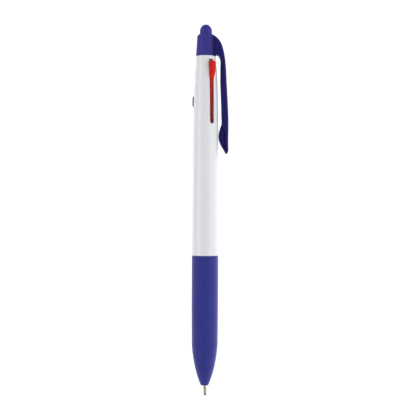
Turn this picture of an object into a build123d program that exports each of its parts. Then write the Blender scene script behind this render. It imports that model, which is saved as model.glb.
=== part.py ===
from build123d import *
import os
from math import asin, cos, degrees, hypot, radians, sin, sqrt

os.makedirs("parts", exist_ok=True)

# A click pen with three refills, lying on a table with its writing end towards +X.
# Stations are distances in mm from the nose face towards the cap, along the pen's axis.

# Where the pen lies
NOSE_X = 69.95  # nose face, so that the writing ball and the end knob are equally far from x = 0
AXIS_Y = -1.78  # the clip stands out to +Y, so the axis lies off the middle
AXIS_Z = 6.38  # height of the axis over the table
CLIP_ROLL = -25.0  # direction of the clip about the pen's axis, from +Y towards +Z
RED_ROLL = CLIP_ROLL + 60.0
BLUE_ROLL = CLIP_ROLL - 60.0
BLACK_ROLL = CLIP_ROLL + 180.0

# Outside
NOSE_FACE_R = 1.6
GRIP_FRONT_R = 5.2
GRIP_REAR_R = 5.31
GRIP_STRAIGHT = 30.0  # the grip is a plain cylinder from here to the barrel
NOSE_END = 16.2  # the rounded nose runs into the straight grip here
JOINT = 51.82  # grip against barrel
JOINT_GAP = 0.12
BARREL_FRONT_R = 5.38
BARREL_LIP = 0.15  # bevel of its front edge
BARREL_WAIST = 100.0
BARREL_WAIST_R = 5.1
BARREL_END = 131.4
BARREL_END_R = 3.86
CAP_EDGE_R = 3.97
CAP_SHOULDER = 139.5
CAP_SHOULDER_R = 3.5
CAP_TOP = 140.1
CAP_TOP_R = 3.0
KNOB_R = 2.47
KNOB_TOP = 144.2

# Inside of the barrel
BORE_R = 4.0
SOCKET_R = 4.3
SOCKET_END = 60.5
SPIGOT_R = 4.22
SPIGOT_END = 60.0
SPIGOT_BORE_R = 3.65
ORIFICE_R = 0.95
NOSE_RING_R = 1.22
SHELL_R = 4.4  # outside of the plastic shell under the grip
NECK_R = 3.1  # rear neck of the barrel, inside the cap
NECK_BORE_R = 2.5
NECK_END = 137.0
CAP_CEILING = 137.2
SLOT_FRONT = 104.25
SLOT_REAR = 130.05
SLOT_WIDTH = 1.95

# Latch core
LEDGE = 116.2
LEDGE_R = 0.98
POST_R = 0.75

# Clip
CLIP_WIDTH = 4.4
CLIP_OUT_R = 9.12
CLIP_FOOT_WIDTH = 3.0
CLIP_EDGE = 0.85

# Sliders
TRAVEL = 13.6
SINK = 1.05  # a slider comes this much nearer to the axis over its travel
SLIDER_WIDTH = 1.8
SLIDER_IN_R = 2.0
SLIDER_OUT_R = 3.9  # at its front end
STEM_R = 4.4  # at the foot of the thumb
SLIDER_FRONT = 104.0
SLIDER_REAR = 129.25
THUMB_R = 6.35
THUMB_FRONT = 121.2
THUMB_TOP_FRONT = 125.2
THUMB_FOOT_ROUND = 1.5
THUMB_TOP_ROUND = 1.6
THUMB_REAR_ROUND = 1.0
THUMB_EDGE = 0.3
FLANGE_WIDTH = 2.9
FLANGE_R = 2.75
FLANGE_REAR = 124.0
PAD_R = 1.5
PAD_FRONT = 102.0
PEG_BALL_R = 0.6
PEG_NECK_R = 0.4

# Refills
PIVOT = 100.0  # ball on the slider's peg, refill drawn back
PIVOT_R = 2.45
POINT_OUT = 4.3  # writing ball's end beyond the nose face
POINT_OUT_R = -0.232  # and across the axis, with the refill out
POINT_IN_R = 1.8  # writing end off the axis, with the refill drawn back
TUBE_R = 0.93
TUBE_BORE_R = 0.63
TUBE_BEHIND = 1.5
COLLAR_R = 0.78
COLLAR_LENGTH = 24.0
SHANK_LENGTH = 28.0
NEEDLE_R = 0.625
NEEDLE_LENGTH = 11.0
NEEDLE_TAPER = 0.95
LIP_R = 0.38
LIP_BACK = 0.2
BALL_R = 0.35
FEED_R = 0.15
INK_REAR = 12.0

# Springs and their guide
GUIDE_FRONT = 69.0
GUIDE_REAR = 70.5
GUIDE_MIDDLE_R = 0.9  # the three holes meet in the middle
SPRING_R = 1.36
WIRE_R = 0.13
SPRING_TURNS = 12
SPRING_PLAY = 0.1

slide_angle = degrees(asin(SINK / TRAVEL))
slide_reach = TRAVEL * cos(radians(slide_angle))
refill_length = hypot(PIVOT - slide_reach + POINT_OUT, PIVOT_R - SINK - POINT_OUT_R)
angle_out = degrees(asin((PIVOT_R - SINK - POINT_OUT_R) / refill_length))
angle_in = degrees(asin((PIVOT_R - POINT_IN_R) / refill_length))
pen_axis = Axis((NOSE_X, AXIS_Y, AXIS_Z), (-1, 0, 0))


def outward(roll):
    """Unit vector out from the pen's axis at a roll angle."""
    return Vector(0, cos(radians(roll)), sin(radians(roll)))


def long_plane(roll, moved=0.0):
    """Plane through the pen's axis: x is the station, y the distance out from the axis.

    moved shifts it along the slider's path, which runs forwards and slightly inwards.
    """
    ahead = Vector(cos(radians(slide_angle)), 0, 0) - outward(roll) * sin(radians(slide_angle))
    start = Vector(NOSE_X, AXIS_Y, AXIS_Z) + ahead * moved
    return Plane(origin=start, x_dir=(-1, 0, 0), z_dir=Vector(-1, 0, 0).cross(outward(roll)))


def cross_plane(station, roll, moved=0.0):
    """Plane across the pen's axis, facing the cap: x is the distance out from the axis."""
    start = long_plane(roll, moved).from_local_coords(Vector(station, 0, 0))
    return Plane(origin=start, x_dir=outward(roll), z_dir=(-1, 0, 0))


def slot_plane(roll):
    """Plane through the pen's axis that faces outwards at a roll angle: x is the station."""
    return Plane(origin=(NOSE_X, AXIS_Y, AXIS_Z), x_dir=(-1, 0, 0), z_dir=outward(roll))


def refill_plane(roll, out):
    """Plane through a refill's axis: x runs from its pivot to its writing end, y away from it."""
    angle = radians(angle_out if out else angle_in)
    pivot = long_plane(roll, TRAVEL if out else 0.0).from_local_coords(Vector(PIVOT, PIVOT_R, 0))
    ahead = Vector(cos(angle), 0, 0) - outward(roll) * sin(angle)
    side = Vector(sin(angle), 0, 0) + outward(roll) * cos(angle)
    return Plane(origin=pivot, x_dir=ahead, z_dir=ahead.cross(side))


def profile(plane, *corners):
    """Face with straight sides on a plane, from its corners."""
    with BuildSketch(plane) as face:
        with BuildLine():
            Polyline(*corners, close=True)
        make_face()
    return face.sketch


def keep(part, name):
    """Label a finished piece and write it."""
    part.label = name
    export_step(part, f"parts/{name}.step")


# Barrel: the long shell with a slot for each slider

with BuildPart() as upper_barrel:
    with BuildSketch(long_plane(0)):
        with BuildLine():
            Polyline(
                (JOINT, SOCKET_R),
                (JOINT, BARREL_FRONT_R - BARREL_LIP),
                (JOINT + BARREL_LIP, BARREL_FRONT_R),
                (BARREL_WAIST, BARREL_WAIST_R),
            )
            Spline(
                (BARREL_WAIST, BARREL_WAIST_R),
                (110, 4.99),
                (120, 4.69),
                (127.6, 4.24),
                (BARREL_END, BARREL_END_R),
                tangents=[(1, -0.0058), (1, -0.1)],
            )
            Polyline(
                (BARREL_END, BARREL_END_R),
                (BARREL_END, NECK_R),
                (NECK_END, NECK_R),
                (NECK_END, NECK_BORE_R),
                (BARREL_END, NECK_BORE_R),
                (120, 3.74),
                (115, BORE_R),
                (SOCKET_END, BORE_R),
                (SOCKET_END, SOCKET_R),
                (JOINT, SOCKET_R),
            )
        make_face()
    revolve(axis=pen_axis)
    for roll in (BLACK_ROLL, RED_ROLL, BLUE_ROLL):
        with BuildSketch(slot_plane(roll)):
            with Locations(((SLOT_FRONT + SLOT_WIDTH / 2 + SLOT_REAR) / 2, 0)):
                Rectangle(SLOT_REAR - SLOT_FRONT - SLOT_WIDTH / 2, SLOT_WIDTH)
            with Locations((SLOT_FRONT + SLOT_WIDTH / 2, 0)):
                Circle(SLOT_WIDTH / 2)
        extrude(amount=2 * BORE_R, mode=Mode.SUBTRACT)
keep(upper_barrel.part, "upper_barrel")

# Cap with the clip moulded in one piece

with BuildPart() as clip_blade:
    with BuildSketch(long_plane(CLIP_ROLL)):
        with BuildLine():
            Spline(
                (CAP_TOP, 2.4),
                (138.7, 4.6),
                (136.4, 6.2),
                (133.6, 7.1),
                (129.6, 7.78),
                (122, 8.3),
                (110, 8.95),
                (102, CLIP_OUT_R),
                (95.2, CLIP_OUT_R),
                (92.9, 8.85),
                (92.3, 8.2),
            )
            Polyline((92.3, 8.2), (94.2, 8.0), (100.6, 8.0), (104.2, 6.45), (111.6, 6.25), (121, 5.85), (128.6, 5.86))
            Spline((128.6, 5.86), (130.9, 5.55), (132.0, 4.7), (BARREL_END, 3.6))
            Polyline((BARREL_END, 3.6), (134, 2.4), (CAP_TOP, 2.4))
        make_face()
    extrude(amount=CLIP_WIDTH / 2, both=True)
    back = clip_blade.edges().filter_by(lambda e: e.length > 40)
    fillet(back, radius=CLIP_EDGE)
    with BuildSketch(long_plane(CLIP_ROLL)):
        with BuildLine():
            Spline((92.3, 8.2), (94.2, 7.15), (96.0, 6.12), (97.8, 5.42), (99.6, 5.24), (101.8, 5.56), (104.4, 6.43))
            Polyline((104.4, 6.43), (103.6, 7.6), (100.6, 8.4), (94.0, 8.4), (92.3, 8.2))
        make_face()
    extrude(amount=CLIP_FOOT_WIDTH / 2, both=True)

with BuildPart() as clip_cap:
    cap = profile(
        long_plane(0),
        (BARREL_END, 0),
        (BARREL_END, CAP_EDGE_R),
        (CAP_SHOULDER, CAP_SHOULDER_R),
        (CAP_TOP, CAP_TOP_R),
        (CAP_TOP, 0),
    )
    revolve(cap, axis=pen_axis)
    add(clip_blade.part)
    with BuildSketch(cross_plane(BARREL_END, 0)):
        Circle(NECK_R)
    extrude(amount=CAP_CEILING - BARREL_END, mode=Mode.SUBTRACT)
    with BuildSketch(cross_plane(CAP_CEILING, 0)):
        Circle(1.5)
    extrude(amount=CAP_TOP - CAP_CEILING, mode=Mode.SUBTRACT)
keep(clip_cap.part, "clip_cap")

# Domed end knob, pressed into the cap

with BuildPart() as end_knob:
    with BuildSketch(long_plane(0)):
        with BuildLine():
            Polyline((KNOB_TOP, 0), (136.6, 0), (136.6, 1.5), (CAP_TOP, 1.5), (CAP_TOP, KNOB_R), (141.7, 2.42))
            Spline((141.7, 2.42), (143.5, 1.62), (KNOB_TOP, 0), tangents=[(1, -0.06), (0, -1)])
        make_face()
    revolve(axis=pen_axis)
keep(end_knob.part, "end_knob")

# Latch core: a post between the sliders, hung from the barrel's neck

with BuildPart() as latch_core:
    core = profile(
        long_plane(0),
        (LEDGE, 0),
        (LEDGE, POST_R),
        (LEDGE + 0.6, LEDGE_R),
        (LEDGE + 1.8, LEDGE_R),
        (LEDGE + 2.4, POST_R),
        (BARREL_END + 0.1, POST_R),
        (BARREL_END + 0.1, NECK_BORE_R),
        (136.4, NECK_BORE_R),
        (136.4, 0),
    )
    revolve(core, axis=pen_axis)
keep(latch_core.part, "latch_core")

# Spring guide: a disc with a long hole for each refill, and the seat of the three springs

guide_out_r = PIVOT_R - (PIVOT - GUIDE_REAR) * sin(radians(angle_in))
guide_in_r = POINT_OUT_R + (GUIDE_FRONT + POINT_OUT) * sin(radians(angle_out))
with BuildPart() as spring_guide:
    with BuildSketch(cross_plane(GUIDE_FRONT, 0)):
        Circle(BORE_R)
        for roll in (BLACK_ROLL, RED_ROLL, BLUE_ROLL):
            with Locations(Location((0, 0, 0), (0, 0, -roll))):
                with Locations(((guide_out_r + guide_in_r) / 2, 0)):
                    SlotCenterToCenter(guide_out_r - guide_in_r, 2 * TUBE_R + 0.16, mode=Mode.SUBTRACT)
        Circle(GUIDE_MIDDLE_R, mode=Mode.SUBTRACT)
    extrude(amount=GUIDE_REAR - GUIDE_FRONT)
keep(spring_guide.part, "spring_guide")

# Front section: plastic shell with a nose and a spigot, under a rubber sleeve

with BuildPart() as front_barrel:
    with BuildSketch(long_plane(0)):
        with BuildLine():
            Polyline((0, ORIFICE_R), (0, NOSE_RING_R))
            Spline((0, NOSE_RING_R), (3, 2.0), (6, 2.86), (10, 3.7), (NOSE_END, SHELL_R))
            Polyline(
                (NOSE_END, SHELL_R),
                (JOINT - JOINT_GAP, SHELL_R),
                (JOINT - JOINT_GAP, SPIGOT_R),
                (SPIGOT_END, SPIGOT_R),
                (SPIGOT_END, SPIGOT_BORE_R),
                (NOSE_END, SPIGOT_BORE_R),
                (9.4, 2.85),
                (5, 1.9),
                (0, ORIFICE_R),
            )
        make_face()
    revolve(axis=pen_axis)
    for turn in range(4):
        groove = profile(
            long_plane(0),
            (53.6 + 1.6 * turn, SPIGOT_R + 0.1),
            (54.3 + 1.6 * turn, SPIGOT_R + 0.1),
            (54.1 + 1.6 * turn, SPIGOT_R - 0.15),
            (53.8 + 1.6 * turn, SPIGOT_R - 0.15),
        )
        revolve(groove, axis=pen_axis, mode=Mode.SUBTRACT)
keep(front_barrel.part, "front_barrel")

with BuildPart() as grip_sleeve:
    with BuildSketch(long_plane(0)):
        with BuildLine():
            Polyline((0, NOSE_RING_R), (0, NOSE_FACE_R - 0.1), (0.12, NOSE_FACE_R))
            Spline((0.12, NOSE_FACE_R), (2, 2.36), (6, 3.61), (10, 4.46), (13, 4.9), (NOSE_END, GRIP_FRONT_R))
            Polyline(
                (NOSE_END, GRIP_FRONT_R),
                (GRIP_STRAIGHT, GRIP_REAR_R),
                (JOINT - JOINT_GAP - 0.2, GRIP_REAR_R),
                (JOINT - JOINT_GAP, GRIP_REAR_R - 0.15),
                (JOINT - JOINT_GAP, SHELL_R),
                (NOSE_END, SHELL_R),
            )
            Spline((NOSE_END, SHELL_R), (10, 3.7), (6, 2.86), (3, 2.0), (0, NOSE_RING_R))
        make_face()
    revolve(axis=pen_axis)
keep(grip_sleeve.part, "grip_sleeve")


def make_colour(colour, roll, out):
    """Write one colour's slider, spring and refill, drawn back or out to write."""
    moved = TRAVEL if out else 0.0
    along = long_plane(roll, moved)

    with BuildPart() as slider:
        with BuildSketch(along):
            with BuildLine():
                FilletPolyline(
                    (SLIDER_FRONT + 0.4, SLIDER_OUT_R),
                    (THUMB_FRONT, STEM_R),
                    (THUMB_TOP_FRONT, THUMB_R),
                    (SLIDER_REAR - 0.3, THUMB_R),
                    (SLIDER_REAR, SLIDER_OUT_R),
                    radius=[THUMB_FOOT_ROUND, THUMB_TOP_ROUND, THUMB_REAR_ROUND],
                )
                Polyline(
                    (SLIDER_REAR, SLIDER_OUT_R),
                    (SLIDER_REAR, SLIDER_IN_R),
                    (SLIDER_FRONT, SLIDER_IN_R),
                    (SLIDER_FRONT, SLIDER_OUT_R - 0.4),
                    (SLIDER_FRONT + 0.4, SLIDER_OUT_R),
                )
            make_face()
        extrude(amount=SLIDER_WIDTH / 2, both=True)
        fillet(slider.edges().filter_by(lambda e: along.to_local_coords(e.center()).Y > STEM_R + 0.1), THUMB_EDGE)
        flange = profile(
            along,
            (SLIDER_FRONT, SLIDER_IN_R),
            (FLANGE_REAR, SLIDER_IN_R),
            (FLANGE_REAR, FLANGE_R),
            (SLIDER_FRONT, FLANGE_R),
        )
        extrude(flange, amount=FLANGE_WIDTH / 2, both=True)
        with BuildSketch(cross_plane(PAD_FRONT, roll, moved)):
            with Locations((PIVOT_R, 0)):
                Circle(PAD_R)
        extrude(amount=SLIDER_FRONT - PAD_FRONT)
        with BuildSketch(cross_plane(PIVOT, roll, moved)):
            with Locations((PIVOT_R, 0)):
                Circle(PEG_NECK_R)
        extrude(amount=PAD_FRONT - PIVOT)
        with Locations(refill_plane(roll, out).origin):
            Sphere(PEG_BALL_R)
    keep(slider.part, f"{colour}_slider")

    refill = refill_plane(roll, out)
    refill_axis = Axis(refill.origin, refill.x_dir)
    tube_end = refill_length - COLLAR_LENGTH
    needle_start = refill_length - NEEDLE_LENGTH

    with BuildPart() as refill_tube:
        wall = profile(
            refill,
            (-TUBE_BEHIND, TUBE_BORE_R),
            (-TUBE_BEHIND, TUBE_R),
            (tube_end, TUBE_R),
            (tube_end, TUBE_BORE_R),
        )
        revolve(wall, axis=refill_axis)
    keep(refill_tube.part, f"{colour}_refill_tube")

    with BuildPart() as ink:
        column = profile(
            refill,
            (INK_REAR, 0),
            (INK_REAR, TUBE_BORE_R),
            (refill_length - SHANK_LENGTH, TUBE_BORE_R),
            (refill_length - SHANK_LENGTH, 0),
        )
        revolve(column, axis=refill_axis)
    keep(ink.part, f"{colour}_ink")

    ball_middle = refill_length - BALL_R
    with BuildPart() as point:
        with BuildSketch(refill):
            with BuildLine():
                Polyline(
                    (ball_middle - sqrt(BALL_R**2 - FEED_R**2), FEED_R),
                    (refill_length - SHANK_LENGTH, FEED_R),
                    (refill_length - SHANK_LENGTH, TUBE_BORE_R),
                    (tube_end, TUBE_BORE_R),
                    (tube_end, COLLAR_R),
                    (needle_start - 0.4, COLLAR_R),
                    (needle_start, NEEDLE_R),
                    (refill_length - NEEDLE_TAPER, NEEDLE_R),
                    (refill_length - LIP_BACK, LIP_R),
                    (refill_length - LIP_BACK, sqrt(BALL_R**2 - (BALL_R - LIP_BACK) ** 2)),
                )
                ThreePointArc(
                    (refill_length - LIP_BACK, sqrt(BALL_R**2 - (BALL_R - LIP_BACK) ** 2)),
                    (ball_middle, BALL_R),
                    (ball_middle - sqrt(BALL_R**2 - FEED_R**2), FEED_R),
                )
            make_face()
        revolve(axis=refill_axis)
    keep(point.part, f"{colour}_point")

    with BuildPart() as ball:
        with Locations(refill.from_local_coords(Vector(ball_middle, 0, 0))):
            Sphere(BALL_R)
    keep(ball.part, f"{colour}_ball")

    # The spring stands around the tube, from the guide to the slider's pad
    rear = PIVOT - PAD_FRONT + WIRE_R + SPRING_PLAY
    front = PIVOT - moved - GUIDE_REAR - WIRE_R - SPRING_PLAY
    spring_start = refill.from_local_coords(Vector(rear, 0, 0))
    length = front - rear
    with BuildPart() as spring:
        with BuildLine() as coil:
            Helix(length / SPRING_TURNS, length, SPRING_R, spring_start, refill.x_dir)
        wire = coil.edges()[0]
        with BuildSketch(Plane(origin=wire @ 0, z_dir=wire % 0)):
            Circle(WIRE_R)
        sweep(path=wire, is_frenet=True)
    keep(spring.part, f"{colour}_spring")


make_colour("black", BLACK_ROLL, out=True)
make_colour("red", RED_ROLL, out=False)
make_colour("blue", BLUE_ROLL, out=False)
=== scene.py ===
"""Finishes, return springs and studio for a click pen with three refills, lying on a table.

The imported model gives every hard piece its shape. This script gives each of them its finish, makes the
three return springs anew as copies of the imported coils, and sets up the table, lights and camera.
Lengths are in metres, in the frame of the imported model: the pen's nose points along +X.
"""

import logging
import math
from dataclasses import dataclass, field
from enum import Enum
from typing import Protocol, Sequence

import bpy
from mathutils import Matrix, Vector


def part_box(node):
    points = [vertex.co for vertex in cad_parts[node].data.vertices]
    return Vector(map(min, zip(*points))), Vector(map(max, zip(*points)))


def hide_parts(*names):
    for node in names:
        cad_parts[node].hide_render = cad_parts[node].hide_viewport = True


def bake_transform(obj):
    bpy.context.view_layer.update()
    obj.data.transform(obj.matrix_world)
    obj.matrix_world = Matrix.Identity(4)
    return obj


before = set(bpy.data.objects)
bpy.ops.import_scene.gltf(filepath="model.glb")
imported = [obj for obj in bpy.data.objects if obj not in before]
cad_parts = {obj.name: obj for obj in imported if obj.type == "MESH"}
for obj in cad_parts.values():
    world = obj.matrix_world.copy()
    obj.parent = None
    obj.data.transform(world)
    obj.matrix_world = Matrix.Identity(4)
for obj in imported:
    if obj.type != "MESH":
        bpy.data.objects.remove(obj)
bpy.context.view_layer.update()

LOG = logging.getLogger("click_pen")

Colour = tuple[float, float, float]
Paint = tuple[float, float, float, float]
Place = tuple[float, float, float]
Socket = bpy.types.NodeSocket

# Nearly all values of a noise texture lie between these two.
NOISE_LOW = 0.3
NOISE_HIGH = 0.7

# Sockets of the Mix node when it mixes colours.
MIX_FACTOR = 0
MIX_DARK = 6
MIX_LIGHT = 7
MIX_RESULT = 2


class Ink(Enum):
    """The three colours that the pen writes in."""

    BLACK = "black"
    RED = "red"
    BLUE = "blue"


def shade(colour: Colour, factor: float) -> Colour:
    """A colour made darker or lighter by a factor."""
    return tuple(min(1.0, channel * factor) for channel in colour)


def opaque(colour: Colour) -> Paint:
    """A colour with the alpha channel of a solid surface."""
    return (*colour, 1.0)


def ring_scale(rings_per_metre: float) -> float:
    """The wave texture's scale that lays this many rings in a metre."""
    return math.tau / 20 * rings_per_metre


class Sheet:
    """A small helper that lays out the nodes of one material."""

    def __init__(self, name: str) -> None:
        """Start an empty material.

        Args:
            name: The material's name.
        """
        self.material = bpy.data.materials.new(name)
        self.material.use_nodes = True
        self.tree = self.material.node_tree
        self.shader = self.tree.nodes["Principled BSDF"]
        self.place = self.tree.nodes.new("ShaderNodeTexCoord").outputs["Object"]

    def node(self, kind: str, **settings: object) -> bpy.types.Node:
        """Add a node.

        Args:
            kind: Blender's name of the node type.
            settings: Properties of the node, or values of its inputs by name.

        Returns:
            The new node.
        """
        made = self.tree.nodes.new(kind)
        for key, value in settings.items():
            if hasattr(made, key):
                setattr(made, key, value)
            else:
                made.inputs[key.replace("_", " ")].default_value = value
        return made

    def link(self, start: Socket, end: Socket) -> None:
        """Join an output to an input."""
        self.tree.links.new(start, end)

    def noise(self, per_metre: float, detail: float = 4.0, stretch: Sequence[float] = (1, 1, 1)) -> Socket:
        """Noise over the object, evenly scaled or stretched along an axis.

        Args:
            per_metre: How many grains of noise fit in a metre.
            detail: Octaves of finer noise in it.
            stretch: Scale along x, y and z before the noise is read.

        Returns:
            The noise's value, around one half.
        """
        mapping = self.node("ShaderNodeMapping")
        mapping.inputs["Scale"].default_value = stretch
        self.link(self.place, mapping.inputs["Vector"])
        texture = self.node("ShaderNodeTexNoise", Scale=per_metre, Detail=detail, Roughness=0.55)
        self.link(mapping.outputs["Vector"], texture.inputs["Vector"])
        return texture.outputs["Fac"]

    def rings(self, per_metre: float) -> Socket:
        """Rings around the pen, evenly spaced along its length.

        Args:
            per_metre: How many rings fit in a metre.

        Returns:
            The rings' height, from 0 to 1.
        """
        wave = self.node("ShaderNodeTexWave", Scale=ring_scale(per_metre))
        self.link(self.place, wave.inputs["Vector"])
        return wave.outputs["Fac"]

    def spread(
        self,
        value: Socket,
        low: float,
        high: float,
        start: float = NOISE_LOW,
        end: float = NOISE_HIGH,
    ) -> Socket:
        """Map a value's range to another.

        Args:
            value: The value to map.
            low: What start becomes.
            high: What end becomes.
            start: The low end of the range that is read.
            end: The high end of the range that is read.

        Returns:
            The mapped value.
        """
        made = self.node("ShaderNodeMapRange")
        made.inputs["From Min"].default_value = start
        made.inputs["From Max"].default_value = end
        made.inputs["To Min"].default_value = low
        made.inputs["To Max"].default_value = high
        self.link(value, made.inputs["Value"])
        return made.outputs["Result"]

    def tint(self, value: Socket, dark: Colour, light: Colour) -> None:
        """Colour the surface between two tones.

        Args:
            value: Where the tone lies, from 0 for dark to 1 for light.
            dark: The darker tone.
            light: The lighter tone.
        """
        mix = self.node("ShaderNodeMix", data_type="RGBA")
        mix.inputs[MIX_DARK].default_value = opaque(dark)
        mix.inputs[MIX_LIGHT].default_value = opaque(light)
        self.link(value, mix.inputs[MIX_FACTOR])
        self.link(mix.outputs[MIX_RESULT], self.shader.inputs["Base Color"])

    def polish(self, value: Socket, smooth: float, rough: float, start: float = NOISE_LOW) -> None:
        """Vary the surface's roughness by a pattern.

        Args:
            value: The pattern.
            smooth: The roughness where the pattern is low.
            rough: The roughness where it is high.
            start: The pattern's value up to which the surface stays smooth.
        """
        self.link(self.spread(value, smooth, rough, start), self.shader.inputs["Roughness"])

    def bump(self, layers: Sequence[tuple[Socket, float]]) -> None:
        """Raise the surface by one or more height textures.

        Args:
            layers: Pairs of a height texture and its depth.
        """
        below = None
        for height, depth in layers:
            made = self.node("ShaderNodeBump", Strength=1.0, Distance=depth)
            self.link(height, made.inputs["Height"])
            if below is not None:
                self.link(below, made.inputs["Normal"])
            below = made.outputs["Normal"]
        self.link(below, self.shader.inputs["Normal"])

    def set(self, **values: float | Paint) -> None:
        """Set inputs of the shader that are the same all over.

        Args:
            values: Input names, with _ for a space, and their values.
        """
        for key, value in values.items():
            self.shader.inputs[key.replace("_", " ")].default_value = value


@dataclass(frozen=True)
class MouldedPlastic:
    """Injection-moulded plastic with faint flow marks, a fine satin grain and rubbed high spots.

    The flow marks and scuffs run along the pen, as the plastic did in the mould.
    """

    name: str
    colour: Colour
    roughness: float = 0.3
    gloss: float = 0.5
    coat: float = 0.0
    coat_roughness: float = 0.12
    grain_depth: float = 2e-6
    flow: float = 0.05
    flow_to_grain: float = 6.0
    flow_per_metre: float = 180.0
    grain_per_metre: float = 9000.0
    scuffs_per_metre: float = 700.0
    scuffs_from: float = 0.35

    def tone(self, sheet: Sheet, flow_marks: Socket) -> None:
        """Colour the plastic, slightly uneven where it flowed.

        Args:
            sheet: The material being laid out.
            flow_marks: The pattern of the flow.
        """
        sheet.tint(
            sheet.spread(flow_marks, 0.0, 1.0),
            shade(self.colour, 1 - self.flow),
            shade(self.colour, 1 + self.flow),
        )

    def build(self) -> bpy.types.Material:
        """Make the material.

        Returns:
            The finished material.
        """
        sheet = Sheet(self.name)
        flow_marks = sheet.noise(self.flow_per_metre, 3, stretch=(0.25, 1, 1))
        grain = sheet.noise(self.grain_per_metre, 2)
        scuffs = sheet.noise(self.scuffs_per_metre, 5, stretch=(0.2, 1, 1))
        self.tone(sheet, flow_marks)
        sheet.polish(scuffs, self.roughness * 0.85, self.roughness * 1.25, self.scuffs_from)
        sheet.bump([(flow_marks, self.grain_depth * self.flow_to_grain), (grain, self.grain_depth)])
        sheet.set(Specular_IOR_Level=self.gloss)
        sheet.set(Coat_Weight=self.coat, Coat_Roughness=self.coat_roughness)
        return sheet.material


@dataclass(frozen=True)
class PaintedShadePlastic(MouldedPlastic):
    """Moulded plastic with one colour near the pen's middle and another further out to one side, which
    paints shade: a darker clip on the cap and darker slider stems inside the barrel.
    """

    outer: Colour = (0.01, 0.008, 0.09)
    middle: Place = (0.0, 0.0, 0.0)
    side: Place = (0.0, 1.0, 0.0)
    inner_to: float = 0.0008
    outer_from: float = 0.0034
    blur: float = 0.0006

    def tone(self, sheet: Sheet, flow_marks: Socket) -> None:
        """Colour the plastic by how far it lies from the middle towards the side.

        Args:
            sheet: The material being laid out.
            flow_marks: The pattern of the flow, which blurs the change.
        """
        reach = sheet.node("ShaderNodeVectorMath", operation="SUBTRACT")
        sheet.link(sheet.place, reach.inputs[0])
        reach.inputs[1].default_value = self.middle
        along = sheet.node("ShaderNodeVectorMath", operation="DOT_PRODUCT")
        sheet.link(reach.outputs["Vector"], along.inputs[0])
        along.inputs[1].default_value = self.side
        blurred = sheet.node("ShaderNodeMath", operation="MULTIPLY_ADD")
        sheet.link(flow_marks, blurred.inputs[0])
        blurred.inputs[1].default_value = self.blur
        sheet.link(along.outputs["Value"], blurred.inputs[2])
        sheet.tint(
            sheet.spread(blurred.outputs[0], 0.0, 1.0, self.inner_to, self.outer_from),
            self.colour,
            self.outer,
        )


@dataclass(frozen=True)
class SoftRubber:
    """Soft-touch rubber: a matte pebbled skin with a velvety bloom, polished a little by fingers."""

    name: str
    colour: Colour
    rear_x: float
    roughness: float = 0.72
    bloom: float = 1.0
    bloom_roughness: float = 0.42
    bloom_colour: Colour = (0.85, 0.75, 1.0)
    mottle: float = 0.07
    ringed: float = 0.004
    ring_pitch: float = 0.0011
    ring_depth: float = 2.5e-5
    cloud_per_metre: float = 90.0
    cloud_depth: float = 1.5e-5
    pebble_per_metre: float = 5200.0
    pebble_depth: float = 7e-6
    fingers_per_metre: float = 260.0

    def rear_rings(self, sheet: Sheet) -> Socket:
        """Faint rings around the rear end, which die out forwards.

        Args:
            sheet: The material being laid out.

        Returns:
            The rings' height, from 0 to 1.
        """
        rings = sheet.rings(1 / self.ring_pitch)
        parts = sheet.node("ShaderNodeSeparateXYZ")
        sheet.link(sheet.place, parts.inputs[0])
        fade = sheet.spread(parts.outputs["X"], 1.0, 0.0, self.rear_x, self.rear_x + self.ringed)
        height = sheet.node("ShaderNodeMath", operation="MULTIPLY")
        sheet.link(rings, height.inputs[0])
        sheet.link(fade, height.inputs[1])
        return height.outputs[0]

    def build(self) -> bpy.types.Material:
        """Make the material.

        Returns:
            The finished material.
        """
        sheet = Sheet(self.name)
        pebble = sheet.noise(self.pebble_per_metre, 3)
        cloud = sheet.noise(self.cloud_per_metre, 4)
        fingers = sheet.noise(self.fingers_per_metre, 3)
        sheet.tint(
            sheet.spread(cloud, 0.0, 1.0),
            shade(self.colour, 1 - self.mottle),
            shade(self.colour, 1 + self.mottle),
        )
        sheet.polish(fingers, self.roughness - 0.06, self.roughness + 0.08)
        sheet.bump([
            (self.rear_rings(sheet), self.ring_depth),
            (cloud, self.cloud_depth),
            (pebble, self.pebble_depth),
        ])
        sheet.set(Specular_IOR_Level=0.2)
        sheet.set(Sheen_Weight=self.bloom, Sheen_Roughness=self.bloom_roughness)
        sheet.set(Sheen_Tint=opaque(self.bloom_colour))
        return sheet.material


@dataclass(frozen=True)
class TurnedMetal:
    """Lathe-turned or drawn metal, with fine rings across its length and a few darker stains."""

    name: str
    colour: Colour
    roughness: float = 0.28
    rings_per_metre: float = 9000.0
    ring_depth: float = 4e-7
    stains_per_metre: float = 900.0

    def build(self) -> bpy.types.Material:
        """Make the material.

        Returns:
            The finished material.
        """
        sheet = Sheet(self.name)
        rings = sheet.rings(self.rings_per_metre)
        stains = sheet.noise(self.stains_per_metre, 4)
        sheet.tint(
            sheet.spread(stains, 0.0, 1.0),
            shade(self.colour, 0.86),
            shade(self.colour, 1.08),
        )
        sheet.polish(stains, self.roughness * 0.8, self.roughness * 1.4)
        sheet.bump([(rings, self.ring_depth)])
        sheet.set(Metallic=1.0)
        return sheet.material


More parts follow.
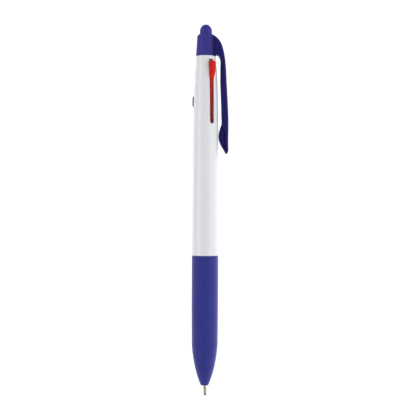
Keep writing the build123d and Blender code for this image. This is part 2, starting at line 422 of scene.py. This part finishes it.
@dataclass(frozen=True)
class ClearTube:
    """Translucent extruded tube, with faint lines along its length and a slight haze."""

    name: str
    colour: Colour
    roughness: float = 0.32
    clearness: float = 0.4
    bending_of_light: float = 1.48
    lines_per_metre: float = 2500.0
    line_depth: float = 8e-7
    haze_per_metre: float = 500.0

    def build(self) -> bpy.types.Material:
        """Make the material.

        Returns:
            The finished material.
        """
        sheet = Sheet(self.name)
        lines = sheet.noise(self.lines_per_metre, 2, stretch=(0.05, 1, 1))
        haze = sheet.noise(self.haze_per_metre, 3)
        sheet.tint(sheet.spread(haze, 0.0, 1.0), shade(self.colour, 0.94), self.colour)
        sheet.polish(haze, self.roughness * 0.8, self.roughness * 1.3)
        sheet.bump([(lines, self.line_depth)])
        sheet.set(Transmission_Weight=self.clearness, IOR=self.bending_of_light)
        return sheet.material


@dataclass(frozen=True)
class RefillFinishes:
    """The materials that all three refills and their springs share."""

    tube: bpy.types.Material
    point: bpy.types.Material
    ball: bpy.types.Material
    spring: bpy.types.Material

    @classmethod
    def make(cls) -> "RefillFinishes":
        """Make the four materials.

        Returns:
            The set of them.
        """
        steel = (0.55, 0.55, 0.57)
        spring = TurnedMetal("spring_steel", steel, 0.25, rings_per_metre=20000.0, ring_depth=2e-7)
        tube = ClearTube("tube_clear", (0.88, 0.88, 0.85))
        point = TurnedMetal("point_metal", (0.33, 0.28, 0.22), 0.26)
        ball = TurnedMetal("ball_steel", steel, 0.12, rings_per_metre=3000.0, ring_depth=1e-7)
        return cls(spring=spring.build(), tube=tube.build(), point=point.build(), ball=ball.build())


def wear(node: str, material: bpy.types.Material) -> None:
    """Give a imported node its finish.

    Args:
        node: The node's name.
        material: The finish for all of it.
    """
    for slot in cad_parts[node].material_slots:
        slot.material = material


@dataclass
class PenLine:
    """Where the pen's axis lies, with stations counted from the nose face towards the cap.

    A roll is a direction about the axis, from +Y towards +Z, in radians.
    """

    nose_x: float = field(default_factory=lambda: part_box("grip_sleeve")[1][0])
    middle: Vector = field(init=False)
    clip_roll: float = math.radians(-25.0)

    def __post_init__(self) -> None:
        """Find the axis from the round grip's box."""
        low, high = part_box("grip_sleeve")
        self.middle = Vector((0.0, (low[1] + high[1]) / 2, (low[2] + high[2]) / 2))

    def outward(self, roll: float) -> Place:
        """The direction straight out from the axis at a roll."""
        return (0.0, math.cos(roll), math.sin(roll))

    def point(self, station: float, radius: float = 0.0, roll: float = 0.0) -> Vector:
        """A point given by its place along and around the pen.

        Args:
            station: Distance from the nose face towards the cap.
            radius: Distance out from the axis.
            roll: Direction about the axis.

        Returns:
            The point in the shared frame.
        """
        out = Vector(self.outward(roll)) * radius
        return Vector((self.nose_x - station, self.middle.y, self.middle.z)) + out


class SubAssembly(Protocol):
    """A part of the pen that can be finished on its own."""

    def build(self) -> list[str]:
        """Finish the pieces and return their names."""


@dataclass
class Barrel:
    """The long white barrel, with the latch core and the spring guide pressed into it."""

    white: MouldedPlastic = MouldedPlastic(
        "barrel_white",
        (0.80, 0.81, 0.835),
        roughness=0.3,
        gloss=0.35,
        coat=0.1,
        grain_depth=1.2e-6,
        flow=0.01,
    )
    natural: MouldedPlastic = MouldedPlastic("core_white", (0.72, 0.72, 0.69), roughness=0.42, gloss=0.4)
    inside: tuple[str, ...] = ("latch_core", "spring_guide")

    def build(self) -> list[str]:
        """Dress the barrel, the latch core and the spring guide.

        Returns:
            The names of the finished pieces.
        """
        wear("upper_barrel", self.white.build())
        natural = self.natural.build()
        for node in self.inside:
            wear(node, natural)
        return ["upper_barrel", *self.inside]


@dataclass
class CapAndClip:
    """The indigo cap with its clip, and the domed knob on its end.

    The clip is painted a deeper indigo than the cap: painted shade for its shaded side walls and web.
    """

    pen: PenLine
    indigo: Colour = (0.044, 0.037, 0.265)
    shaded_indigo: Colour = (0.013, 0.0105, 0.12)
    roughness: float = 0.5
    gloss: float = 0.15

    def build(self) -> list[str]:
        """Dress the cap, clip and knob.

        Returns:
            The names of the finished pieces.
        """
        cap = PaintedShadePlastic(
            "cap_indigo",
            self.indigo,
            roughness=self.roughness,
            gloss=self.gloss,
            # Painted shade: the clip, out towards its side, takes the darker indigo.
            outer=self.shaded_indigo,
            middle=tuple(self.pen.middle),
            side=self.pen.outward(self.pen.clip_roll),
        )
        knob = MouldedPlastic("knob_indigo", self.indigo, roughness=self.roughness, gloss=self.gloss)
        wear("clip_cap", cap.build())
        wear("end_knob", knob.build())
        return ["clip_cap", "end_knob"]


@dataclass
class FrontSection:
    """The plastic shell that screws on, under its rubber grip."""

    rubber: Colour = (0.023, 0.030, 0.245)
    shell: MouldedPlastic = MouldedPlastic("shell_indigo", (0.03, 0.028, 0.18), roughness=0.4, gloss=0.4)

    def build(self) -> list[str]:
        """Dress the grip and the shell.

        Returns:
            The names of the finished pieces.
        """
        rear_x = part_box("grip_sleeve")[0][0]
        wear("grip_sleeve", SoftRubber("grip_rubber", self.rubber, rear_x).build())
        wear("front_barrel", self.shell.build())
        return ["grip_sleeve", "front_barrel"]


@dataclass(frozen=True)
class InkPlan:
    """One ink's colours, and where its button stands around the barrel, in degrees from the clip."""

    button_roll: float
    # Painted shade: the stem's colour is a darker copy of the thumb's, for the part inside the slot.
    shaded_stem: Colour
    thumb: Colour
    ink: Colour


INK_PLANS: dict[Ink, InkPlan] = {
    Ink.BLACK: InkPlan(
        button_roll=180.0,
        shaded_stem=(0.01, 0.01, 0.011),
        thumb=(0.02, 0.02, 0.022),
        ink=(0.01, 0.01, 0.012),
    ),
    Ink.RED: InkPlan(
        button_roll=60.0,
        shaded_stem=(0.27, 0.006, 0.016),
        thumb=(0.66, 0.012, 0.006),
        ink=(0.5, 0.01, 0.012),
    ),
    Ink.BLUE: InkPlan(
        button_roll=-60.0,
        shaded_stem=(0.006, 0.018, 0.24),
        thumb=(0.010, 0.03, 0.38),
        ink=(0.01, 0.02, 0.4),
    ),
}


@dataclass
class ColourUnit:
    """One colour's button, refill and return spring."""

    colour: Ink
    plan: InkPlan
    pen: PenLine
    shared: RefillFinishes
    stem_to: float = 0.0042
    thumb_from: float = 0.0054

    def button(self) -> PaintedShadePlastic:
        """The slider's plastic, bright on the thumb, with painted shade: a darker colour on the stem inside
        the barrel.

        Returns:
            The finish.
        """
        roll = self.pen.clip_roll + math.radians(self.plan.button_roll)
        return PaintedShadePlastic(
            f"slider_{self.colour.value}",
            # Painted shade on the stem inside the barrel.
            self.plan.shaded_stem,
            roughness=0.42,
            gloss=0.1,
            outer=self.plan.thumb,
            middle=tuple(self.pen.middle),
            side=self.pen.outward(roll),
            inner_to=self.stem_to,
            outer_from=self.thumb_from,
        )

    def build(self) -> list[str]:
        """Dress this colour's pieces and make its spring.

        Returns:
            The names of the finished pieces.
        """
        name = self.colour.value
        ink = MouldedPlastic(f"ink_{name}", self.plan.ink, roughness=0.15, gloss=0.5, coat=0.3)
        finishes = {
            f"{name}_slider": self.button().build(),
            f"{name}_ink": ink.build(),
            f"{name}_refill_tube": self.shared.tube,
            f"{name}_point": self.shared.point,
            f"{name}_ball": self.shared.ball,
        }
        for node, material in finishes.items():
            wear(node, material)
        return [*finishes, self.spring()]

    def spring(self) -> str:
        """Make the return spring as a copy of the imported coil, which lies between the guide and the
        slider.

        Returns:
            The spring's name.
        """
        name = self.colour.value
        node = f"{name}_spring"
        coil = bpy.data.objects.new(f"{name}_return_spring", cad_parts[node].data.copy())
        bpy.context.scene.collection.objects.link(coil)
        coil.data.materials.clear()
        coil.data.materials.append(self.shared.spring)
        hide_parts(node)
        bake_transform(coil)
        return coil.name


@dataclass(frozen=True)
class Softbox:
    """A soft rectangular light that faces the pen, with its power in watts.

    Its turn is in degrees about the pen, from the camera towards the camera's right.
    """

    name: str
    turn: float
    power: float
    length: float = 0.6
    width: float = 0.3


@dataclass
class Studio:
    """A pale table, soft lights and the camera."""

    pen: PenLine
    distance: float = 0.4004
    lens_mm: float = 85.8
    sensor_mm: float = 36.0
    nearest: float = 0.01
    camera_roll: float = math.radians(66.5)
    lean: float = math.radians(0.24)
    aim_station: float = 0.0700
    aim_right: float = 0.00192
    lamp_reach: float = 0.5
    lamps: tuple[Softbox, ...] = (
        Softbox("softbox_left", -58.0, 1.85),
        Softbox("softbox_right", 52.0, 1.5),
    )
    room_light: float = 0.25
    table_reach: float = 3.0
    table_grey: float = 0.3
    table_glow: float = 1.0

    def axes(self) -> tuple[Vector, Vector, Vector]:
        """The directions back to the camera, to the right and up in its view.

        Returns:
            Three unit vectors.
        """
        back = Vector((0.0, math.cos(self.camera_roll), math.sin(self.camera_roll)))
        level = Vector((0.0, back.z, -back.y))
        up = Vector((-math.cos(self.lean), 0, 0)) - level * math.sin(self.lean)
        return back, up.cross(back), up

    def camera(self) -> None:
        """Place the camera and make it the scene's own."""
        back, right, up = self.axes()
        target = self.pen.point(self.aim_station) + right * self.aim_right
        data = bpy.data.cameras.new("camera")
        data.lens = self.lens_mm
        data.sensor_width = self.sensor_mm
        data.clip_start = self.nearest
        camera = bpy.data.objects.new("camera", data)
        bpy.context.scene.collection.objects.link(camera)
        camera.matrix_world = Matrix((right, up, back)).transposed().to_4x4()
        camera.location = target + back * self.distance
        bpy.context.scene.camera = camera

    def light(self, softbox: Softbox) -> None:
        """Hang a light so that it faces the pen.

        Args:
            softbox: The light to hang.
        """
        roll = self.camera_roll - math.radians(softbox.turn)
        where = self.pen.point(self.aim_station, self.lamp_reach, roll)
        data = bpy.data.lights.new(softbox.name, "AREA")
        data.shape = "RECTANGLE"
        data.size = softbox.length
        data.size_y = softbox.width
        data.energy = softbox.power
        lamp = bpy.data.objects.new(softbox.name, data)
        lamp.location = where
        aim = self.pen.point(self.aim_station) - where
        lamp.rotation_euler = aim.to_track_quat("-Z", "Y").to_euler()
        bpy.context.scene.collection.objects.link(lamp)

    def table(self) -> None:
        """Lay a wide pale table under the pen, which glows so that shadows stay faint."""
        reach = self.table_reach
        mesh = bpy.data.meshes.new("table")
        corners = [(-reach, -reach, 0), (reach, -reach, 0), (reach, reach, 0), (-reach, reach, 0)]
        mesh.from_pydata(corners, [], [(0, 1, 2, 3)])
        table = bpy.data.objects.new("table", mesh)
        bpy.context.scene.collection.objects.link(table)
        sheet = Sheet("table_white")
        grey = (self.table_grey, self.table_grey, self.table_grey)
        sheet.set(Base_Color=opaque(grey), Roughness=0.9, Specular_IOR_Level=0.1)
        sheet.set(Emission_Color=opaque((1.0, 1.0, 1.0)), Emission_Strength=self.table_glow)
        mesh.materials.append(sheet.material)

    def air(self) -> None:
        """Fill the room with even white light."""
        world = bpy.data.worlds.new("room")
        world.use_nodes = True
        background = world.node_tree.nodes["Background"]
        background.inputs["Color"].default_value = opaque((1.0, 1.0, 1.0))
        background.inputs["Strength"].default_value = self.room_light
        bpy.context.scene.world = world

    def build(self) -> None:
        """Set up the whole studio."""
        bpy.context.scene.view_settings.view_transform = "Standard"
        self.camera()
        self.table()
        self.air()
        for softbox in self.lamps:
            self.light(softbox)


def main() -> None:
    """Build the pen's sub-assemblies in order and report each piece."""
    logging.basicConfig(level=logging.INFO, format="%(name)s: %(message)s")
    pen = PenLine()
    shared = RefillFinishes.make()
    colour_units = [ColourUnit(colour, plan, pen, shared) for colour, plan in INK_PLANS.items()]
    assemblies: list[SubAssembly] = [Barrel(), CapAndClip(pen), FrontSection(), *colour_units]
    for assembly in assemblies:
        for piece in assembly.build():
            LOG.info("finished %s", piece)
    Studio(pen).build()


if __name__ == "__main__":
    main()
